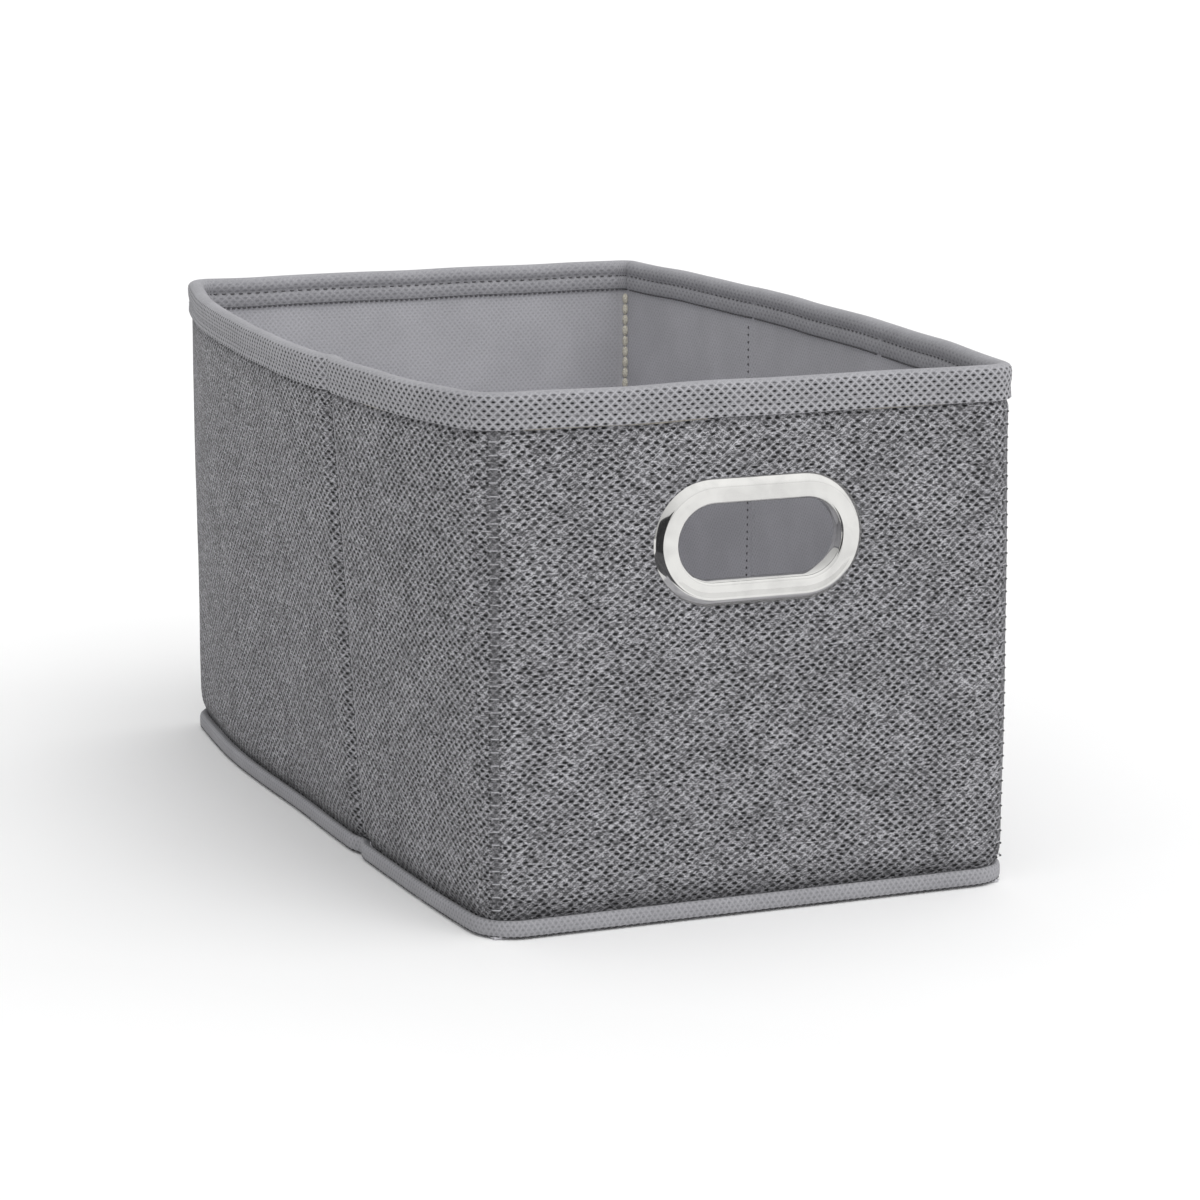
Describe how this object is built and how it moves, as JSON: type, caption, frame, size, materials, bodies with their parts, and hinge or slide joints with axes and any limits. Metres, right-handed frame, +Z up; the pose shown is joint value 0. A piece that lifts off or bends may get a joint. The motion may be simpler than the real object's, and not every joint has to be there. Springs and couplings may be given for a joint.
{
  "type": "foldable fabric storage bin",
  "caption": "Open-top rectangular storage bin of fabric-covered boards with a bound rim and foot, creased sides that fold in, a loose bottom board and an oval metal ring handle.",
  "frame": {"origin": "middle of the footprint, on the surface that the bin stands on", "axes": "+Z up, the front wall with the handle at -Y, the long sides at -X and +X"},
  "size_m": [0.169, 0.2712, 0.143],
  "materials": {
    "cover_fabric": "woven heather",
    "lining_fabric": "embossed nonwoven",
    "binding_tape": "nonwoven tape",
    "thread": "spun thread",
    "board": "grey card",
    "handle_metal": "polished",
    "inner_metal": "plain stamped"
  },
  "bodies": {
    "front_wall": {"front_cover": "cover_fabric", "front_board": "board", "front_lining": "lining_fabric", "front_rim_binding": "binding_tape", "front_rim_thread": "thread", "front_left_seam": "thread", "front_right_seam": "thread", "base_binding": "binding_tape", "base_thread": "thread", "bottom_cover": "lining_fabric", "handle_ring": "handle_metal", "handle_back_ring": "inner_metal", "handle_prongs": "inner_metal"},
    "right_front": {"right_front_cover": "cover_fabric", "right_front_board": "board", "right_front_lining": "lining_fabric", "right_front_rim_binding": "binding_tape", "right_front_rim_thread": "thread", "right_crease_seam": "thread"},
    "right_rear": {"right_rear_cover": "cover_fabric", "right_rear_board": "board", "right_rear_lining": "lining_fabric", "right_rear_rim_binding": "binding_tape", "right_rear_rim_thread": "thread"},
    "back_wall": {"back_cover": "cover_fabric", "back_board": "board", "back_lining": "lining_fabric", "back_rim_binding": "binding_tape", "back_rim_thread": "thread", "back_left_seam": "thread", "back_right_seam": "thread"},
    "left_rear": {"left_rear_cover": "cover_fabric", "left_rear_board": "board", "left_rear_lining": "lining_fabric", "left_rear_rim_binding": "binding_tape", "left_rear_rim_thread": "thread"},
    "left_front": {"left_front_cover": "cover_fabric", "left_front_board": "board", "left_front_lining": "lining_fabric", "left_front_rim_binding": "binding_tape", "left_front_rim_thread": "thread", "left_crease_seam": "thread"},
    "insert": {"insert_board": "board", "insert_cover": "lining_fabric"}
  },
  "joints": [
    {"name": "wall_fold", "type": "hinge", "parent": "front_wall", "child": "left_front", "pos_m": [-0.07146, -0.1298, 0.07], "axis": [0, 0, -1], "range_deg": [0, 86]},
    {"name": "left_crease_fold", "type": "hinge", "parent": "left_front", "child": "left_rear", "pos_m": [-0.08365, -0.04501, 0.07], "axis": [0, 0, 1], "range_deg": [0, 146.3]},
    {"name": "back_left_corner", "type": "hinge", "parent": "left_rear", "child": "back_wall", "pos_m": [-0.07128, 0.1298, 0.07], "axis": [0, 0, -1], "range_deg": [0, 60.3]},
    {"name": "back_right_corner", "type": "hinge", "parent": "back_wall", "child": "right_rear", "pos_m": [0.07146, 0.1298, 0.07], "axis": [0, 0, -1], "range_deg": [0, 86.1]},
    {"name": "front_right_corner", "type": "hinge", "parent": "front_wall", "child": "right_front", "pos_m": [0.07128, -0.1298, 0.07], "axis": [0, 0, 1], "range_deg": [0, 60.3]},
    {"name": "insert_lift", "type": "slide", "parent": "front_wall", "child": "insert", "axis": [0, 0, 1], "range_m": [0, 0.17]}
  ],
  "couplings": [
    {"joint": "left_crease_fold", "follows": "wall_fold", "ratio": 1.7},
    {"joint": "back_left_corner", "follows": "wall_fold", "ratio": 0.7},
    {"joint": "back_right_corner", "follows": "wall_fold", "ratio": 1},
    {"joint": "front_right_corner", "follows": "wall_fold", "ratio": 0.7}
  ]
}
